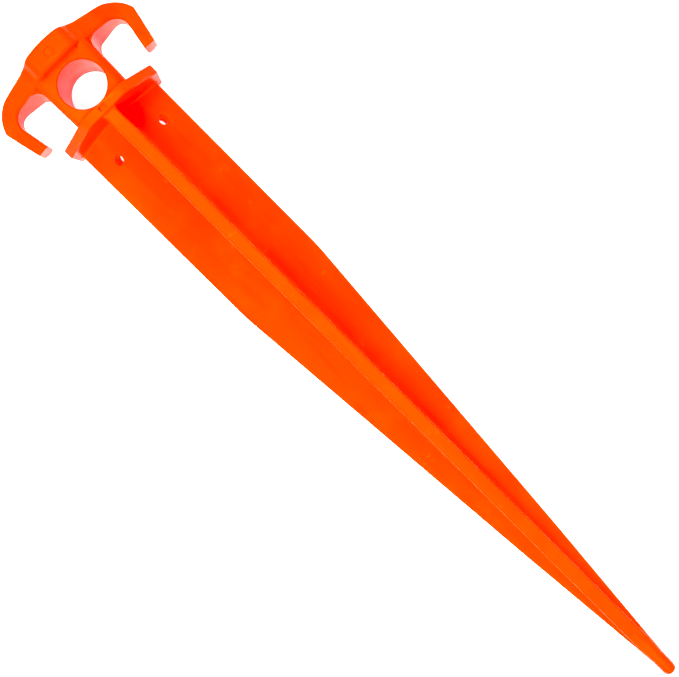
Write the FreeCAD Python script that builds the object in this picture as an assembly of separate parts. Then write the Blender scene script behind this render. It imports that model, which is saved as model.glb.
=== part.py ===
import FreeCAD, Part

import math
import os

from FreeCAD import Vector

# One-piece moulded tent stake, lying on its back.
#
# +X runs from the head to the point along the shaft's axis, +Y is across the hooks and
# +Z is up, away from the ground that the stake lies on: the front fin and the front of
# the head face +Z.  The shapes are drawn about the shaft's axis, with x counted from the
# top of the striking dome, and to_frame() moves them so that the origin is at the
# bottom centre of the whole stake.
#
# The stake is one moulding.  It is built whole, then cut face to face into named regions.

# --- Driving dimensions, in millimetres and degrees --------------------------------------

LENGTH = 304.9              # top of the dome to the end of the point

# Striking boss: a faceted block with a domed top
BOSS_FRONT = 18.0           # half depth, from the axis to the front flat
BOSS_FLAT_HALF = 7.8        # half width of the front flat
BOSS_CORNER_ROUND = 3.2
DOME_HALF_WIDTH = 12.5
DOME_RISE = 1.86            # how far the dome stands over its two feet
DOME_TANGENT_RISE = 1.84    # how far over the dome its two end tangents would meet
DOME_FOOT_ROUND = 2.0       # where the dome meets the top of an arm
CROWN_BOTTOM = 9.0          # underside of the boss and the arms

# Arms and hooks
VALLEY_HALF_DEPTH = 14.3    # where the boss's flank meets an arm
VALLEY_Y = 10.2
VALLEY_RADIUS = 4.0
PRONG_HALF_DEPTH = 5.0
PRONG_START_Y = 28.0
PRONG_BLEND_RADIUS = 12.0
SHOULDER = (3.33, 27.75)    # where the arm's top and the elbow's slope would meet
SHOULDER_RADIUS = 11.1
ELBOW = (10.9, 31.0)
ELBOW_ROUND = 2.4
PRONG_END = 24.25
PRONG_OUTER_Y = 27.95
PRONG_INNER_Y = 23.55
PRONG_OVERRUN = 3.0         # the prongs are drawn this much too long, then cut square
PRONG_END_CHAMFER = 0.4
HOOK_INNER_Y = 26.35        # where the prong's inner face would meet the arm's underside
HOOK_INNER_RADIUS = 4.5
CROWN_TOP_ROUND = 1.0       # front and back edges along the dome and outside the hooks
CROWN_UNDER_ROUND = 2.0     # front and back edges along the underside, beside the neck
HOOK_INSIDE_ROUND = 1.0     # the same edges down the inside of the prongs

# Neck and eye
NECK_TOP_HALF_WIDTH = 12.0
NECK_BOTTOM_HALF_WIDTH = 11.5
NECK_HALF_DEPTH = 14.2
NECK_EDGE_RADIUS = 3.0
NECK_SIDE_FLARE = 4.0       # fillet between the neck's side and the arm
NECK_FACE_FLARE = 1.7       # fillet between the neck's face and the boss
FLARE_INSET = 0.05          # how far the flares stay inside the flat part of the underside
EYE_X = 19.3
EYE_RADIUS = 8.4
EYE_RIM_ROUND = 0.6

# Collar
COLLAR_TOP = 28.5
COLLAR_THICKNESS = 3.8
COLLAR_FRONT = 18.0
COLLAR_FLAT_HALF = 8.64
COLLAR_BEND_ROUND = 3.0
COLLAR_SIDE_HALF = 20.95
COLLAR_SIDE_Z = 2.8
COLLAR_BACK = -16.4
COLLAR_BACK_HALF = 20.1
COLLAR_CORNER_ROUND = 0.8
COLLAR_RIM_ROUND = 0.5

# Shaft: three fins at 120 degrees
FIN_HALF_THICKNESS = 2.2    # at the side fins' outer edge
FIN_DRAFT = 0.8             # each side, thicker towards the axis
FIN_ROOT_FILLET = 1.5
FIN_EDGE_ROUND = 0.6
FIN_COLLAR_FILLET = 1.2
FIN_BEND_X = 112.8          # the near-parallel stretch ends and the long taper begins
FIN_BEND_RADIUS = 90.0
FIN_TAPER_X = 239.3         # the taper turns a little steeper
FIN_TAPER_RADIUS = 500.0
FIN_STOP_X = 290.3          # the fins have faded into the nose
SIDE_FIN_REACH = (20.15, 19.7, 7.74, 2.4)    # axis to outer edge at these four places
FRONT_FIN_REACH = (16.55, 16.2, 6.56, 2.4)

# Blunt nose, a turned shape that grows out of the fins' root
NOSE_START_X = 262.0
NOSE_START_RADIUS = 1.9
NOSE_SHOULDER = (290.5, 3.15)
NOSE_SHOULDER_ROUND = 15.0
NOSE_WAIST = (297.0, 2.5)
NOSE_WAIST_ROUND = 20.0
NOSE_END_RADIUS = 2.3
NOSE_END_ROUND = 2.0
FADE_START = (280.0, 4.2)   # cone that trims the fins' corners where they meet the nose
FADE_END_RADIUS = 3.05

# Tie holes, square to the side fins
TIE_HOLE_RADIUS = 1.8
TIE_HOLE_RIM_ROUND = 0.3
LEFT_HOLE = (43.15, 10.3)   # distance below the dome, and from the axis along the fin
RIGHT_HOLE = (44.15, 11.4)

# Marks left by the mould
EJECTOR_MARK = (4.6, -0.2)  # round dimple on the boss's front flat
EJECTOR_MARK_RADIUS = 1.7
EJECTOR_MARK_DEPTH = 0.3
EJECTOR_MARK_SLOPE = 0.4    # how much narrower its floor is than its mouth
GATE_MARK_Y = -0.5          # oval pit in the collar's front edge
GATE_MARK_HALF_WIDTH = 1.6
GATE_MARK_HALF_HEIGHT = 0.95
GATE_MARK_ROUND = 0.7
GATE_MARK_DEPTH = 1.2

# Cuts between the named regions
BOSS_CUT_Y = 12.6
ELBOW_CUT_Y = 20.9
PRONG_CUT_X = 13.3
POINT_CUT_X = 291.3
FOOT_CUT_X = 34.0           # below the fillet between the front fin and the collar

# Direction of each fin about the axis, from +Y, and the angle between two of them
FRONT_ANGLE = 90.0
LEFT_ANGLE = 210.0
RIGHT_ANGLE = 330.0
FIN_SPACING = 120.0

FAR = 60.0                  # further than the stake reaches from its axis
CLEAR = 1.0                 # how far a cutter stands out of the surface it cuts
EDGE_MATCH = 0.3            # how near a fin edge lies to its drawn reach, bends included
TINY = 1e-4

FIN_STATIONS = (COLLAR_TOP, FIN_BEND_X, FIN_TAPER_X, FIN_STOP_X)
FIN_REACH = {FRONT_ANGLE: FRONT_FIN_REACH, LEFT_ANGLE: SIDE_FIN_REACH, RIGHT_ANGLE: SIDE_FIN_REACH}
TIE_HOLES = {LEFT_ANGLE: LEFT_HOLE, RIGHT_ANGLE: RIGHT_HOLE}
COLLAR_BOTTOM = COLLAR_TOP + COLLAR_THICKNESS
X_AXIS = Vector(1, 0, 0)
AXIS_POINT = Vector(0, 0, 0)


# --- Drawing helpers ---------------------------------------------------------------------

def in_xy(a, b):
    return Vector(a, b, 0.0)


def in_xz(a, b):
    return Vector(a, 0.0, b)


def in_yz(a, b):
    return Vector(0.0, a, b)


def corner_arc(before, corner, after, radius):
    """Start, middle and end of the arc that rounds one corner of an outline."""
    back = (before - corner).normalize()
    ahead = (after - corner).normalize()
    half_angle = back.getAngle(ahead) / 2.0
    bisector = (back + ahead).normalize()
    tangent = radius / math.tan(half_angle)
    to_middle = radius / math.sin(half_angle) - radius
    return corner + back * tangent, corner + bisector * to_middle, corner + ahead * tangent


def outline(corners, plane):
    """Closed face through corners (a, b, radius), each rounded by its own radius."""
    points = [plane(a, b) for a, b, radius in corners]
    arcs = []
    for i, (a, b, radius) in enumerate(corners):
        before = points[i - 1]
        after = points[(i + 1) % len(points)]
        if radius > 0.0:
            arcs.append(corner_arc(before, points[i], after, radius))
        else:
            arcs.append((points[i], None, points[i]))
    edges = []
    for i, (start, middle, end) in enumerate(arcs):
        if middle is not None:
            edges.append(Part.Arc(start, middle, end).toShape())
        next_start = arcs[(i + 1) % len(arcs)][0]
        if (next_start - end).Length > TINY:
            edges.append(Part.LineSegment(end, next_start).toShape())
    return Part.Face(Part.Wire(edges))


def prism(corners, plane, low, high):
    """Outline pushed along the axis it is square to, from low to high."""
    along = Vector(1, 1, 1) - plane(1.0, 1.0)
    face = outline(corners, plane)
    face.translate(along * low)
    return face.extrude(along * (high - low))


def with_mirror(corners, flip):
    """Outline made of the given corners and their mirror images, in order round it."""
    return corners + [flip(corner) for corner in reversed(corners)]


def flip_first(corner):
    return (-corner[0], corner[1], corner[2])


def flip_second(corner):
    return (corner[0], -corner[1], corner[2])


def turned(shape, angle):
    """Copy of a shape turned about the shaft's axis."""
    copy = shape.copy()
    copy.rotate(AXIS_POINT, X_AXIS, angle)
    return copy


def block(low, high):
    size = Vector(*high) - Vector(*low)
    return Part.makeBox(size.x, size.y, size.z, Vector(*low))


def rounded_bore(radius, half_length, rim_round, reach):
    """Cutter for a hole along Z whose two rims are rounded, with plain ends beyond them."""
    rim = radius + rim_round
    flat_start = half_length - rim_round
    elbow = rim_round * (1.0 - math.sqrt(0.5))
    upper_arc = Part.Arc(
        in_xz(radius, flat_start),
        in_xz(radius + elbow, half_length - elbow),
        in_xz(rim, half_length))
    lower_arc = Part.Arc(
        in_xz(rim, -half_length),
        in_xz(radius + elbow, elbow - half_length),
        in_xz(radius, -flat_start))
    corners = [in_xz(rim, half_length), in_xz(rim, reach), in_xz(0, reach)]
    corners += [in_xz(0, -reach), in_xz(rim, -reach), in_xz(rim, -half_length)]
    edges = [Part.LineSegment(a, b).toShape() for a, b in zip(corners, corners[1:]) if a != b]
    edges.append(lower_arc.toShape())
    edges.append(Part.LineSegment(in_xz(radius, -flat_start), in_xz(radius, flat_start)).toShape())
    edges.append(upper_arc.toShape())
    return Part.Face(Part.Wire(edges)).revolve(Vector(0, 0, 0), Vector(0, 0, 1), 360)


# --- Head --------------------------------------------------------------------------------

def crown_plan():
    """Face of the boss and arms seen from above the head."""
    quarter = [
        (FAR, PRONG_HALF_DEPTH, 0.0),
        (PRONG_START_Y, PRONG_HALF_DEPTH, PRONG_BLEND_RADIUS),
        (VALLEY_Y, VALLEY_HALF_DEPTH, VALLEY_RADIUS),
        (BOSS_FLAT_HALF, BOSS_FRONT, BOSS_CORNER_ROUND),
    ]
    front = with_mirror(quarter, flip_first)
    return outline(with_mirror(front, flip_second), in_yz)


def pushed(face, low, high):
    """A face square to the shaft, pushed from one x to another."""
    copy = face.copy()
    copy.translate(X_AXIS * low)
    return copy.extrude(X_AXIS * (high - low))


def is_rim(edge):
    """True for an edge that runs round the front or the back of the half crown."""
    size = edge.BoundBox
    across = size.YLength < TINY
    at_prong_end = size.XMin > PRONG_END
    return not across and not at_prong_end


def is_under(edge):
    """True for a rim edge on the underside or inside a hook."""
    middle = edge.CenterOfMass
    return middle.x > CROWN_BOTTOM - TINY and middle.y < (PRONG_INNER_Y + PRONG_OUTER_Y) / 2.0


def is_hook_bend(edge):
    """True for the curved corner of the rim between an arm's underside and its prong."""
    middle = edge.CenterOfMass
    return middle.y > ELBOW_CUT_Y and middle.x < CROWN_BOTTOM + HOOK_INNER_RADIUS / 2.0


def is_prong_end(edge):
    """True for an edge of the flat end of a prong."""
    return edge.BoundBox.XMin > PRONG_END - TINY


def half_crown():
    """Right half of the domed boss, arms and hooks, with its edges rounded."""
    dome_half_angle = math.atan2(DOME_HALF_WIDTH, DOME_RISE + DOME_TANGENT_RISE)
    dome_radius = DOME_TANGENT_RISE / (1.0 / math.sin(dome_half_angle) - 1.0)
    overrun_x = PRONG_END + PRONG_OVERRUN
    inner_slope = (PRONG_INNER_Y - HOOK_INNER_Y) / (PRONG_END - CROWN_BOTTOM)
    outer_slope = (PRONG_OUTER_Y - ELBOW[1]) / (PRONG_END - ELBOW[0])
    right_half = [
        (CROWN_BOTTOM, HOOK_INNER_Y, HOOK_INNER_RADIUS),
        (overrun_x, PRONG_INNER_Y + inner_slope * PRONG_OVERRUN, 0.0),
        (overrun_x, PRONG_OUTER_Y + outer_slope * PRONG_OVERRUN, 0.0),
        (ELBOW[0], ELBOW[1], ELBOW_ROUND),
        (SHOULDER[0], SHOULDER[1], SHOULDER_RADIUS),
        (DOME_RISE, DOME_HALF_WIDTH, DOME_FOOT_ROUND),
    ]
    dome = [(-DOME_TANGENT_RISE, 0.0, dome_radius)]
    left_half = [flip_second(corner) for corner in reversed(right_half)]
    front_view = prism(right_half + dome + left_half, in_xy, -FAR, FAR)
    solid = front_view.common(pushed(crown_plan(), -FAR, FAR)).removeSplitter()
    solid = solid.common(block((-FAR, 0.0, -FAR), (FAR, FAR, FAR)))
    rims = [edge for edge in solid.Edges if is_rim(edge)]
    solid = solid.makeFillet(CROWN_TOP_ROUND, [edge for edge in rims if not is_under(edge)])
    unders = [edge for edge in solid.Edges if is_rim(edge) and is_under(edge)]
    hook_bends = [edge for edge in unders if is_hook_bend(edge)]
    solid = solid.makeFillet(CROWN_UNDER_ROUND, HOOK_INSIDE_ROUND, hook_bends)
    solid = solid.common(block((-FAR, 0.0, -FAR), (PRONG_END, FAR, FAR)))
    return solid.makeChamfer(PRONG_END_CHAMFER, [edge for edge in solid.Edges if is_prong_end(edge)])


def crown():
    """Domed boss, arms and hooks."""
    right = half_crown()
    return right.fuse(right.mirror(AXIS_POINT, Vector(0, 1, 0))).removeSplitter()


def neck_section(x, half_width):
    """Rounded rectangle across the neck at one x."""
    corner = (half_width, NECK_HALF_DEPTH, NECK_EDGE_RADIUS)
    section = outline(with_mirror(with_mirror([corner], flip_first), flip_second), in_yz)
    section.translate(X_AXIS * x)
    return section


def column():
    """Neck without its flares, tapering a little from inside the crown to the collar."""
    top = neck_section(CROWN_BOTTOM - CROWN_UNDER_ROUND, NECK_TOP_HALF_WIDTH)
    bottom = neck_section(COLLAR_TOP, NECK_BOTTOM_HALF_WIDTH)
    return Part.makeLoft([top.OuterWire, bottom.OuterWire], True, True)


def flare_prism(half_size, radius, plane):
    """Neck's outline in one view, widened by a fillet of that radius against the crown."""
    wide = half_size + 2.0 * radius
    return prism(with_mirror([
        (CROWN_BOTTOM - CLEAR, wide, 0.0),
        (CROWN_BOTTOM, wide, 0.0),
        (CROWN_BOTTOM, half_size, radius),
        (CROWN_BOTTOM + NECK_SIDE_FLARE, half_size, 0.0),
    ], flip_second), plane, -FAR, FAR)


def flared_foot():
    """Fillets between the neck and the flat part of the crown's underside."""
    share = (CROWN_BOTTOM + NECK_SIDE_FLARE) / COLLAR_TOP
    half_width = NECK_TOP_HALF_WIDTH + share * (NECK_BOTTOM_HALF_WIDTH - NECK_TOP_HALF_WIDTH)
    solid = flare_prism(half_width, NECK_SIDE_FLARE, in_xy)
    solid = solid.common(flare_prism(NECK_HALF_DEPTH, NECK_FACE_FLARE, in_xz))
    solid = solid.common(block((CROWN_BOTTOM, -FAR, -FAR), (FAR, FAR, FAR)))
    corners = []
    for edge in solid.Edges:
        size = edge.BoundBox
        beside = abs(size.Center.y) > half_width - TINY
        before = abs(size.Center.z) > NECK_HALF_DEPTH - TINY
        if beside and before and size.XLength > TINY:
            corners.append(edge)
    solid = solid.makeFillet(NECK_EDGE_RADIUS, corners)
    flat_underside = crown_plan().makeOffset2D(-CROWN_UNDER_ROUND - FLARE_INSET)
    return solid.common(pushed(flat_underside, 0.0, FAR))


def neck():
    """Neck that runs up into the crown, with a flared foot against its underside."""
    return column().fuse(flared_foot())


# --- Collar and shaft --------------------------------------------------------------------

def collar():
    """Faceted flange, flat in front, with its two flanks falling away to the sides."""
    half = [
        (COLLAR_BACK_HALF, COLLAR_BACK, COLLAR_CORNER_ROUND),
        (COLLAR_SIDE_HALF, COLLAR_SIDE_Z, COLLAR_CORNER_ROUND),
        (COLLAR_FLAT_HALF, COLLAR_FRONT, COLLAR_BEND_ROUND),
    ]
    solid = prism(with_mirror(half, flip_first), in_yz, COLLAR_TOP, COLLAR_BOTTOM)
    rims = [edge for edge in solid.Edges if edge.BoundBox.XLength < TINY]
    return solid.makeFillet(COLLAR_RIM_ROUND, rims)


def fin_point(reach, offset, angle):
    """Point (y, z) at a reach along a fin and an offset to its left."""
    turn = math.radians(angle)
    y = reach * math.cos(turn) - offset * math.sin(turn)
    z = reach * math.sin(turn) + offset * math.cos(turn)
    return y, z


def half_thickness(reach):
    """Half of a fin's thickness at a distance from the axis."""
    return FIN_HALF_THICKNESS + (max(SIDE_FIN_REACH) - reach) * math.tan(math.radians(FIN_DRAFT))


def fin_profile():
    """Section of the three fins, run out past their edges, as corners (y, z, radius)."""
    slope = math.tan(math.radians(FIN_DRAFT))
    past_edge = max(SIDE_FIN_REACH) + CLEAR
    half_past_edge = half_thickness(past_edge)
    halfway = math.radians(FIN_SPACING / 2.0)
    valley = half_thickness(0.0) / (math.sin(halfway) + slope * math.cos(halfway))
    corners = []
    for angle in FIN_REACH:
        corners.append((*fin_point(past_edge, -half_past_edge, angle), 0.0))
        corners.append((*fin_point(past_edge, half_past_edge, angle), 0.0))
        corners.append((*fin_point(valley, 0.0, angle + FIN_SPACING / 2.0), FIN_ROOT_FILLET))
    return corners


def fin_limit(angle):
    """Everything on the inner side of one fin's outer edge."""
    corners = [(COLLAR_TOP, -FAR, 0.0)]
    rounds = (0.0, FIN_BEND_RADIUS, FIN_TAPER_RADIUS, 0.0)
    corners += zip(FIN_STATIONS, FIN_REACH[angle], rounds)
    corners.append((FIN_STOP_X, -FAR, 0.0))
    return turned(prism(corners, in_xz, -FAR, FAR), angle - FRONT_ANGLE)


def reach_at(angle, x):
    """Distance from the axis to one fin's outer edge, leaving out the rounding of its bends."""
    reaches = FIN_REACH[angle]
    for i in range(len(FIN_STATIONS) - 1):
        if x <= FIN_STATIONS[i + 1]:
            share = (x - FIN_STATIONS[i]) / (FIN_STATIONS[i + 1] - FIN_STATIONS[i])
            return reaches[i] + share * (reaches[i + 1] - reaches[i])
    return reaches[-1]


def is_fin_edge(edge):
    """True for the long edges of a fin's outer strip."""
    if edge.BoundBox.XLength < CLEAR:
        return False
    middle = edge.valueAt((edge.FirstParameter + edge.LastParameter) / 2.0)
    for angle in FIN_REACH:
        turn = math.radians(angle)
        out = middle.y * math.cos(turn) + middle.z * math.sin(turn)
        if abs(reach_at(angle, middle.x) - out) < EDGE_MATCH:
            return True
    return False


def shaft():
    """Three tapering fins with rounded outer edges."""
    solid = prism(fin_profile(), in_yz, COLLAR_TOP + COLLAR_THICKNESS / 2.0, FIN_STOP_X)
    for angle in FIN_REACH:
        solid = solid.common(fin_limit(angle))
    solid = solid.makeFillet(FIN_EDGE_ROUND, [edge for edge in solid.Edges if is_fin_edge(edge)])
    fade = outline([
        (COLLAR_TOP, 0.0, 0.0),
        (COLLAR_TOP, FAR, 0.0),
        (FADE_START[0], FAR, 0.0),
        (FADE_START[0], FADE_START[1], 0.0),
        (FIN_STOP_X, FADE_END_RADIUS, 0.0),
        (FIN_STOP_X, 0.0, 0.0),
    ], in_xz)
    return solid.common(fade.revolve(AXIS_POINT, X_AXIS, 360))


def nose():
    """Blunt round point, with its thin end buried between the fins."""
    half_section = outline([
        (NOSE_START_X, 0.0, 0.0),
        (NOSE_START_X, NOSE_START_RADIUS, 0.0),
        (NOSE_SHOULDER[0], NOSE_SHOULDER[1], NOSE_SHOULDER_ROUND),
        (NOSE_WAIST[0], NOSE_WAIST[1], NOSE_WAIST_ROUND),
        (LENGTH, NOSE_END_RADIUS, NOSE_END_ROUND),
        (LENGTH, 0.0, 0.0),
    ], in_xz)
    return half_section.revolve(AXIS_POINT, X_AXIS, 360)


# --- Whole moulding, and its cuts into named regions -------------------------------------

def eye_cutter():
    cutter = rounded_bore(EYE_RADIUS, NECK_HALF_DEPTH, EYE_RIM_ROUND, NECK_HALF_DEPTH)
    cutter.translate(Vector(EYE_X, 0, 0))
    return cutter


def tie_hole_cutter(angle):
    """Hole square to one side fin, rounded at both faces of the fin."""
    x, reach = TIE_HOLES[angle]
    half_length = half_thickness(reach)
    cutter = rounded_bore(TIE_HOLE_RADIUS, half_length, TIE_HOLE_RIM_ROUND, half_length + CLEAR)
    cutter.translate(Vector(x, reach, 0))
    return turned(cutter, angle)


def ejector_cutter():
    """Shallow round dimple in the boss's front flat, with a sloping side."""
    mouth = Vector(EJECTOR_MARK[0], EJECTOR_MARK[1], BOSS_FRONT)
    floor = mouth - Vector(0, 0, EJECTOR_MARK_DEPTH)
    floor_radius = EJECTOR_MARK_RADIUS - EJECTOR_MARK_SLOPE
    return Part.makeCone(floor_radius, EJECTOR_MARK_RADIUS, EJECTOR_MARK_DEPTH, floor)


def gate_cutter():
    """Small oval pit in the middle of the collar's front edge."""
    x = COLLAR_TOP + COLLAR_THICKNESS / 2.0
    low = (x - GATE_MARK_HALF_HEIGHT, GATE_MARK_Y - GATE_MARK_HALF_WIDTH, GATE_MARK_ROUND)
    high = (x + GATE_MARK_HALF_HEIGHT, GATE_MARK_Y + GATE_MARK_HALF_WIDTH, GATE_MARK_ROUND)
    corners = [low, (low[0], high[1], GATE_MARK_ROUND), high, (high[0], low[1], GATE_MARK_ROUND)]
    return prism(corners, in_xy, COLLAR_FRONT - GATE_MARK_DEPTH, COLLAR_FRONT + CLEAR)


def flanged_shaft():
    """Shaft standing on the collar, with a fillet all round its foot."""
    fins = shaft()
    solid = collar().fuse(fins).removeSplitter()
    foot = []
    for edge in solid.Edges:
        in_plane = edge.BoundBox.XLength < TINY and abs(edge.BoundBox.XMin - COLLAR_BOTTOM) < TINY
        if in_plane and fins.distToShape(Part.Vertex(edge.CenterOfMass))[0] < TINY:
            foot.append(edge)
    return solid.makeFillet(FIN_COLLAR_FILLET, foot)


def moulding():
    """The whole stake as one solid."""
    solid = crown().fuse([neck(), flanged_shaft(), nose()]).removeSplitter()
    solid = solid.cut([eye_cutter(), ejector_cutter(), gate_cutter()])
    return solid.cut([tie_hole_cutter(angle) for angle in TIE_HOLES])


def span(x_range, y_range):
    """Region between two values of x and two of y, for any z."""
    return block((x_range[0], y_range[0], -FAR), (x_range[1], y_range[1], FAR))


def both_sides(name, x_range, y_range):
    """The same region on the right and mirrored on the left, by name."""
    return {
        "right_" + name: span(x_range, y_range),
        "left_" + name: span(x_range, (-y_range[1], -y_range[0])),
    }


def fin_region(angle, start=COLLAR_BOTTOM, end=POINT_CUT_X):
    """Third of the space round the axis that holds one fin, between two values of x."""
    corners = [(0.0, 0.0, 0.0)]
    for turn in (-FIN_SPACING / 2.0, FIN_SPACING / 2.0):
        corners.append((*fin_point(FAR, 0.0, angle + turn), 0.0))
    return prism(corners, in_yz, start, end)


def regions():
    """Where each named region of the moulding begins and ends."""
    cells = {
        "strike_boss": span((-FAR, CROWN_BOTTOM), (-BOSS_CUT_Y, BOSS_CUT_Y)),
        "eye_neck": span((CROWN_BOTTOM, COLLAR_TOP), (-ELBOW_CUT_Y, ELBOW_CUT_Y)),
        "collar": span((COLLAR_TOP, COLLAR_BOTTOM), (-FAR, FAR)),
        "front_fin_foot": fin_region(FRONT_ANGLE, end=FOOT_CUT_X),
        "front_fin": fin_region(FRONT_ANGLE, start=FOOT_CUT_X),
        "left_fin": fin_region(LEFT_ANGLE),
        "right_fin": fin_region(RIGHT_ANGLE),
        "driving_point": span((POINT_CUT_X, LENGTH + FAR), (-FAR, FAR)),
    }
    cells.update(both_sides("arm", (-FAR, CROWN_BOTTOM), (BOSS_CUT_Y, ELBOW_CUT_Y)))
    cells.update(both_sides("elbow", (-FAR, PRONG_CUT_X), (ELBOW_CUT_Y, FAR)))
    cells.update(both_sides("prong", (PRONG_CUT_X, COLLAR_TOP), (ELBOW_CUT_Y, FAR)))
    return cells


def to_frame(shape):
    """Move from the axis and the dome's top to the stake's bottom centre."""
    moved = shape.copy()
    moved.translate(Vector(-LENGTH / 2.0, 0.0, BOSS_FRONT))
    return moved


def main():
    os.makedirs("parts", exist_ok=True)
    whole = moulding()
    for name, cell in regions().items():
        to_frame(whole.common(cell)).exportStep("parts/" + name + ".step")


main()
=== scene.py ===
import math

import bmesh
import bpy
from mathutils import Matrix, Vector


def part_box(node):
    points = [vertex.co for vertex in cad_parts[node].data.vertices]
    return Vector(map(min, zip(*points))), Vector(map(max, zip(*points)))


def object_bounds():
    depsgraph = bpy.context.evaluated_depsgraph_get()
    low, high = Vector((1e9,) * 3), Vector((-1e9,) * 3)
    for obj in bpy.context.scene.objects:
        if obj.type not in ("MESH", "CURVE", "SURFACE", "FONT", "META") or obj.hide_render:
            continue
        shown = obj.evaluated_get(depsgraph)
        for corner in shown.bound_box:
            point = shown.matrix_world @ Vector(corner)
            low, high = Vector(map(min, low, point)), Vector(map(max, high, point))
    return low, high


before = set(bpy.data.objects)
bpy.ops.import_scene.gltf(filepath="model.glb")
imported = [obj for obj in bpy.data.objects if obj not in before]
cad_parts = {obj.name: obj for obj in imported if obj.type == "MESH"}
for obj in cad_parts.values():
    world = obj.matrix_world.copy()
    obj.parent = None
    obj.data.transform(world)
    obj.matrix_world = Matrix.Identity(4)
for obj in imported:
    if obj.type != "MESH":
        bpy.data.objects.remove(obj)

# Looks of the moulded tent stake: material, floor, light and camera.
# Everything is in metres in the part's own frame: +X runs from the head to the point,
# +Z is the front of the stake.

CAD_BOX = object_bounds()
CENTRE = (CAD_BOX[0] + CAD_BOX[1]) / 2

# --- Camera ---------------------------------------------------------------------------------
LENS = 80.7                            # on a 36 mm sensor
CAMERA_DISTANCE = 0.5268
CAMERA_AIM = (-0.01144, 0.00027, 0.0)  # from the middle of the stake
CAMERA_LEAN_ALONG = -0.768             # degrees from straight above, towards the point
CAMERA_LEAN_ACROSS = 1.095             # and towards the right-hand hook
STAKE_ANGLE = 44.91                    # degrees that the stake slopes down across the picture

# --- Floor and light ------------------------------------------------------------------------
FLOOR_SIZE = 6.0
FLOOR_COLOUR = (0.42, 0.42, 0.418)     # dim enough not to whiten the flanks by reflection
FLOOR_GLOW = 0.95                      # keeps its shadows white
FLOOR_ROUGHNESS = 0.8
KEY_PLACE = (0.3, -0.5, 1.25)          # soft lamp beyond the left fin, a little towards the point
KEY_SIZE = 0.9
KEY_POWER = 106.0
FILL_PLACE = (-0.8, 0.55, 1.1)         # weaker one beyond the head, on the right-hand side
FILL_SIZE = 0.8
FILL_POWER = 52.0
SHINE_PLACE = (-0.1, -0.1, 1.6)        # lamp that shows only in highlights
SHINE_SIZE = 1.0
SHINE_POWER = 20.0
WORLD_GLOW = 0.05
BLACK_LEVEL = 0.03                     # keeps the shaded plastic deep and saturated
WORLD_SEEN = 1.0                       # what the camera sees beyond the floor

# --- Plastic --------------------------------------------------------------------------------
ORANGE = (0.95, 0.0195, 0.0)
ORANGE_DEEP = (0.95, 0.015, 0.0)
ORANGE_PALE = (0.96, 0.026, 0.0005)
ROUGHNESS_LOW = 0.28
ROUGHNESS_HIGH = 0.40
SPECULAR = 0.09
SPECULAR_TINT = (1.0, 0.5, 0.1)
SCUFFED = (0.96, 0.09, 0.02)
SCUFF_TINT = 0.25                      # share of the scuffed colour
SCUFF_ROUGHENING = 0.12
STREAK_SCALE = (18.0, 160.0, 160.0)    # long along the shaft
SCUFF_SCALE = (500.0, 90.0, 500.0)     # short marks across it
MOTTLING_SCALE = 45.0
WAVE_SCALE = 70.0
GRAIN_SCALE = 2600.0
WAVE_HEIGHT = 0.0006
FINE_HEIGHT = 0.00003


def link(name, data):
    made = bpy.data.objects.new(name, data)
    bpy.context.scene.collection.objects.link(made)
    return made


def add_camera():
    """Camera over the front of the stake, turned so that the point is at the lower right."""
    along_lean = math.radians(CAMERA_LEAN_ALONG)
    across_lean = math.radians(CAMERA_LEAN_ACROSS)
    back = Vector((math.tan(along_lean), math.tan(across_lean), 1.0)).normalized()
    aim = CENTRE + Vector(CAMERA_AIM)
    along = Vector((1, 0, 0))
    along = (along - back * along.dot(back)).normalized()
    across = back.cross(along)
    turn = math.radians(STAKE_ANGLE)
    right = along * math.cos(turn) + across * math.sin(turn)
    up = across * math.cos(turn) - along * math.sin(turn)
    data = bpy.data.cameras.new("camera")
    data.lens = LENS
    data.clip_start = 0.01
    data.clip_end = 20.0
    camera = link("camera", data)
    pose = Matrix((right, up, back)).transposed().to_4x4()
    pose.translation = aim + back * CAMERA_DISTANCE
    camera.matrix_world = pose
    bpy.context.scene.camera = camera


def plain_material(name, colour, roughness):
    """Uniform material, for the floor only."""
    material = bpy.data.materials.new(name)
    material.use_nodes = True
    shader = material.node_tree.nodes["Principled BSDF"]
    shader.inputs["Base Color"].default_value = (*colour, 1.0)
    shader.inputs["Roughness"].default_value = roughness
    return material


def add_floor():
    """Floor that the boss and the point rest on, pale by its own glow."""
    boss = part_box("strike_boss")
    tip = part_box("driving_point")
    heel = Vector((boss[1].x, 0, boss[0].z))
    toe = Vector((tip[1].x, 0, tip[0].z))
    slope = math.atan2(toe.z - heel.z, toe.x - heel.x)
    bm = bmesh.new()
    bmesh.ops.create_grid(bm, x_segments=2, y_segments=2, size=FLOOR_SIZE / 2)
    mesh = bpy.data.meshes.new("floor")
    bm.to_mesh(mesh)
    bm.free()
    floor = link("floor", mesh)
    floor.rotation_euler.y = -slope
    floor.location = heel
    paint = plain_material("floor_paint", FLOOR_COLOUR, FLOOR_ROUGHNESS)
    shader = paint.node_tree.nodes["Principled BSDF"]
    shader.inputs["Emission Color"].default_value = (1.0, 1.0, 1.0, 1.0)
    shader.inputs["Emission Strength"].default_value = FLOOR_GLOW
    floor.data.materials.append(paint)


def area_light(name, place, size, power):
    data = bpy.data.lights.new(name, "AREA")
    data.shape = "DISK"
    data.size = size
    data.energy = power
    light = link(name, data)
    light.location = Vector(place)
    light.rotation_euler = (Vector(place) - CENTRE).to_track_quat("Z", "Y").to_euler()
    return light


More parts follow.
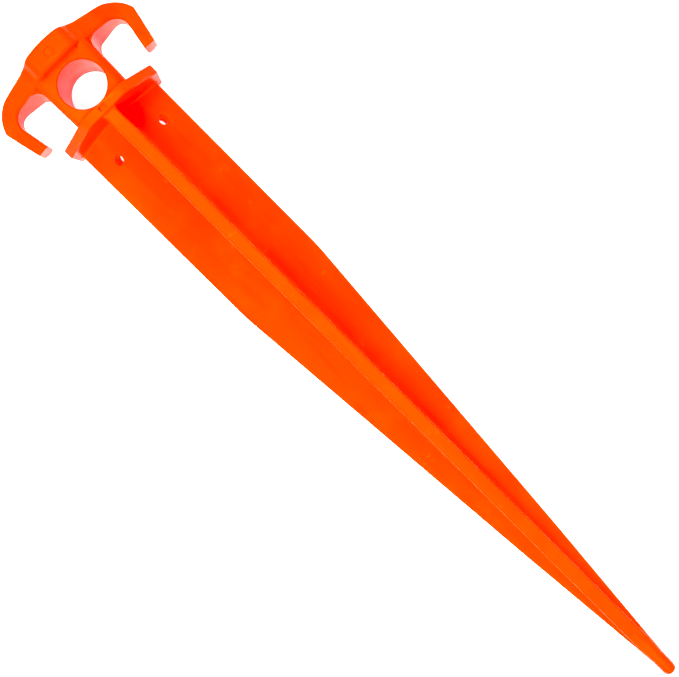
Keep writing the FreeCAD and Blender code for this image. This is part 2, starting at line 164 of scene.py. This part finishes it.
def add_light():
    """Two soft lamps that leave no reflection, one highlight lamp and a white surround."""
    for soft in (area_light("key", KEY_PLACE, KEY_SIZE, KEY_POWER),
                 area_light("fill", FILL_PLACE, FILL_SIZE, FILL_POWER)):
        soft.visible_glossy = False
    area_light("shine", SHINE_PLACE, SHINE_SIZE, SHINE_POWER).visible_diffuse = False
    world = bpy.data.worlds.new("world")
    world.use_nodes = True
    tree = world.node_tree
    tree.nodes.clear()
    glow = tree.nodes.new("ShaderNodeBackground")
    glow.inputs["Strength"].default_value = WORLD_GLOW
    seen = tree.nodes.new("ShaderNodeBackground")
    seen.inputs["Strength"].default_value = WORLD_SEEN
    for background in (glow, seen):
        background.inputs["Color"].default_value = (1, 1, 1, 1)
    path = tree.nodes.new("ShaderNodeLightPath")
    mix = tree.nodes.new("ShaderNodeMixShader")
    output = tree.nodes.new("ShaderNodeOutputWorld")
    tree.links.new(path.outputs["Is Camera Ray"], mix.inputs[0])
    tree.links.new(glow.outputs[0], mix.inputs[1])
    tree.links.new(seen.outputs[0], mix.inputs[2])
    tree.links.new(mix.outputs[0], output.inputs[0])
    bpy.context.scene.world = world
    view = bpy.context.scene.view_settings
    view.view_transform = "Standard"
    view.use_curve_mapping = True
    view.curve_mapping.black_level = (BLACK_LEVEL,) * 3
    view.curve_mapping.update()


class Nodes:
    """Small helper that adds nodes to one material and joins them up."""

    def __init__(self, name):
        self.material = bpy.data.materials.new(name)
        self.material.use_nodes = True
        self.tree = self.material.node_tree
        self.shader = self.tree.nodes["Principled BSDF"]

    def add(self, kind, settings=None, **inputs):
        node = self.tree.nodes.new("ShaderNode" + kind)
        for key, value in (settings or {}).items():
            setattr(node, key, value)
        for key, value in inputs.items():
            self.join(value, node.inputs[key.replace("_", " ")])
        return node

    def join(self, value, socket):
        if isinstance(value, bpy.types.NodeSocket):
            self.tree.links.new(value, socket)
        else:
            socket.default_value = value

    def noise(self, place, scale, detail, roughness=0.5, distortion=0.0):
        made = self.add("TexNoise", None, Vector=place, Scale=scale, Detail=detail,
                        Roughness=roughness, Distortion=distortion)
        return made.outputs["Fac"]

    def stretched(self, place, factors):
        made = self.add("VectorMath", {"operation": "MULTIPLY"})
        self.join(place, made.inputs[0])
        made.inputs[1].default_value = factors
        return made.outputs["Vector"]

    def ramp(self, value, low, high, start, end):
        """Smooth step of a value, from start..end up to low..high."""
        made = self.add("MapRange", {"interpolation_type": "SMOOTHSTEP"}, Value=value)
        made.inputs["From Min"].default_value = low
        made.inputs["From Max"].default_value = high
        made.inputs["To Min"].default_value = start
        made.inputs["To Max"].default_value = end
        return made.outputs["Result"]

    def blend(self, share, first, second):
        made = self.add("Mix", {"data_type": "RGBA"})
        self.join(share, made.inputs[0])
        self.join(first, made.inputs[6])
        self.join(second, made.inputs[7])
        return made.outputs[2]

    def sum(self, first, second, share):
        """first + second * share."""
        made = self.add("Math", {"operation": "MULTIPLY_ADD"})
        self.join(second, made.inputs[0])
        self.join(share, made.inputs[1])
        self.join(first, made.inputs[2])
        return made.outputs[0]

    def bump(self, height, strength, distance, below=None):
        made = self.add("Bump", None, Height=height, Strength=strength, Distance=distance)
        if below is not None:
            self.join(below, made.inputs["Normal"])
        return made.outputs["Normal"]


def moulded_plastic():
    """Blaze-orange polymer: flow streaks along the shaft, mottling, fine grain and scuffs."""
    make = Nodes("orange_plastic_moulded")
    place = make.add("TexCoord").outputs["Object"]
    streaks = make.noise(make.stretched(place, STREAK_SCALE), 1.0, 4.0, 0.55, 0.6)
    mottling = make.noise(place, MOTTLING_SCALE, 5.0, 0.6)
    grain = make.noise(place, GRAIN_SCALE, 2.0, 0.5)
    waves = make.noise(place, WAVE_SCALE, 2.0, 0.4)
    scuffs = make.noise(make.stretched(place, SCUFF_SCALE), 1.0, 3.0, 0.7, 1.5)
    worn = make.ramp(scuffs, 0.62, 0.74, 0.0, 1.0)

    colour = make.blend(make.ramp(streaks, 0.35, 0.68, 0.0, 1.0), (*ORANGE, 1), (*ORANGE_DEEP, 1))
    colour = make.blend(make.ramp(mottling, 0.45, 0.75, 0.0, 0.7), colour, (*ORANGE_PALE, 1))
    colour = make.blend(make.sum(0.0, worn, SCUFF_TINT), colour, (*SCUFFED, 1))
    make.join(colour, make.shader.inputs["Base Color"])
    make.shader.inputs["Specular IOR Level"].default_value = SPECULAR
    make.shader.inputs["Specular Tint"].default_value = (*SPECULAR_TINT, 1.0)

    roughness = make.ramp(mottling, 0.3, 0.7, ROUGHNESS_LOW, ROUGHNESS_HIGH)
    roughness = make.sum(roughness, worn, SCUFF_ROUGHENING)
    make.join(roughness, make.shader.inputs["Roughness"])
    slow = make.bump(waves, 0.25, WAVE_HEIGHT)
    fine = make.bump(grain, 0.18, FINE_HEIGHT, slow)
    make.join(make.bump(worn, 0.12, FINE_HEIGHT, fine), make.shader.inputs["Normal"])
    return make.material


def main():
    plastic = moulded_plastic()
    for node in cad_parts.values():
        node.data.materials.clear()
        node.data.materials.append(plastic)
    add_floor()
    add_light()
    add_camera()


main()
